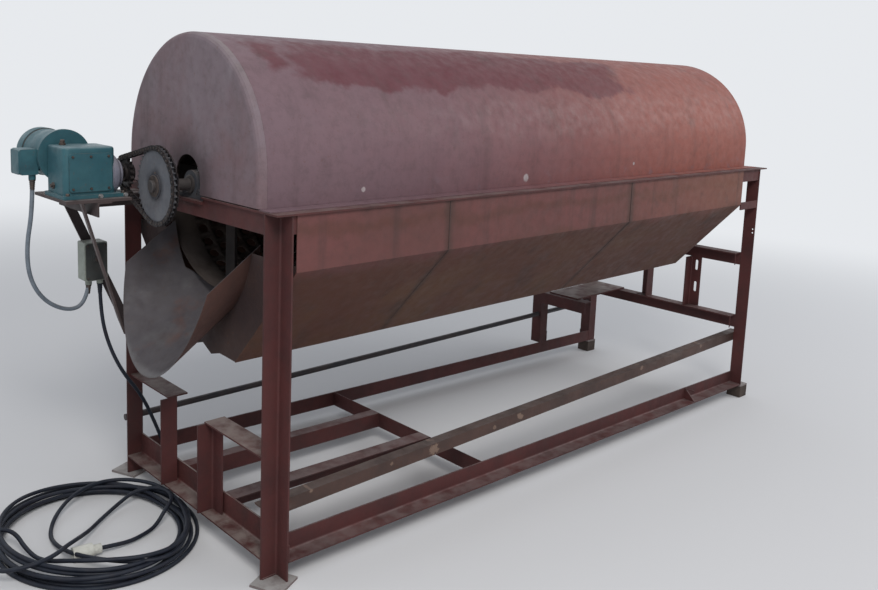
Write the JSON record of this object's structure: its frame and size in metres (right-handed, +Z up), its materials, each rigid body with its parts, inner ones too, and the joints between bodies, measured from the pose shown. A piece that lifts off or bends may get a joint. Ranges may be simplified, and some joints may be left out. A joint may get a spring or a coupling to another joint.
{
  "type": "trommel screen",
  "caption": "Rotary drum screen on an angle-steel frame, with half-round hood, V-shaped trough, discharge chute and chain drive.",
  "frame": {"origin": "middle of the machine's footprint box, on the ground", "axes": "+X towards the feed end, +Y towards the back, +Z up; the machine is tilted 1.68 degrees, feed end up"},
  "size_m": [3.8892, 1.1698, 1.8384],
  "materials": {
    "hood_primer": "dusty red primer",
    "trough_primer": "worn brown primer",
    "frame_primer": "worn red-brown primer",
    "chute_steel": "worn bright inside",
    "drum_steel": "worn and dusty",
    "shaft_steel": "turned",
    "sprocket_steel": "dusty plate",
    "chain_steel": "oily",
    "bearing_iron": "painted dark",
    "bare_rail": "rusty mill finish",
    "pipe_paint": "dark",
    "gear_paint": "dusty green",
    "switch_paint": "pale grey-green",
    "conduit_plastic": "grey sheath",
    "lead_rubber": "black sheath",
    "connector_plastic": "cream",
    "packing_wood": "dark, oil-soaked",
    "brace_steel": "dark worn"
  },
  "bodies": {
    "root": {"bay_ledges": "frame_primer", "bay_posts": "frame_primer", "bearing_seats": "frame_primer", "bearings": "bearing_iron", "chute": "chute_steel", "conduit": "conduit_plastic", "conveyor_rails": "frame_primer", "drive_chain": "chain_steel", "end_beam_lower": "frame_primer", "end_beam_upper": "frame_primer", "end_posts": "frame_primer", "foot_plates": "frame_primer", "gearbox": "gear_paint", "hood_end_left": "hood_primer", "hood_end_right": "hood_primer", "hood_lips": "hood_primer", "hood_shell": "hood_primer", "lead_coil": "lead_rubber", "lead_connector": "connector_plastic", "lead_tail": "lead_rubber", "leg_back_left": "frame_primer", "leg_back_right": "frame_primer", "leg_front_left": "frame_primer", "leg_front_right": "frame_primer", "lower_cross_member": "frame_primer", "lower_left_rail": "frame_primer", "lower_side_rails": "frame_primer", "mid_front_rail": "bare_rail", "motor": "gear_paint", "motor_platform": "brace_steel", "packing_blocks": "packing_wood", "platform_beams": "brace_steel", "platform_braces": "brace_steel", "rail_gusset": "frame_primer", "rear_pipe": "pipe_paint", "shelf_arm": "frame_primer", "shelf_plate": "frame_primer", "shelf_post": "frame_primer", "supply_lead": "lead_rubber", "switch_box": "switch_paint", "terminal_box": "gear_paint", "top_end_rails": "frame_primer", "top_side_rails": "frame_primer", "trough_back": "trough_primer", "trough_end_left": "trough_primer", "trough_end_right": "trough_primer", "trough_front": "trough_primer", "trough_ties": "frame_primer"},
    "drum": {"screen_panel_front": "drum_steel", "screen_panel_back": "drum_steel", "screen_panel_top": "drum_steel", "screen_panel_bottom": "drum_steel", "drum_screen": "drum_steel", "drum_hoops": "drum_steel", "drum_spiders": "drum_steel", "drum_shaft": "shaft_steel", "drum_sprocket": "sprocket_steel"},
    "pinion": {"drive_pinion": "chain_steel"}
  },
  "joints": [
    {"name": "drum_spin", "type": "hinge", "parent": "root", "child": "drum", "pos_m": [0.19424, 0, 1.27838], "axis": [0.9996, 0, 0.0293], "continuous": true},
    {"name": "pinion_spin", "type": "hinge", "parent": "root", "child": "pinion", "pos_m": [-1.51364, 0.23552, 1.24931], "axis": [0.9996, 0, 0.0293], "continuous": true}
  ],
  "couplings": [
    {"joint": "pinion_spin", "follows": "drum_spin", "ratio": 2.3333}
  ]
}
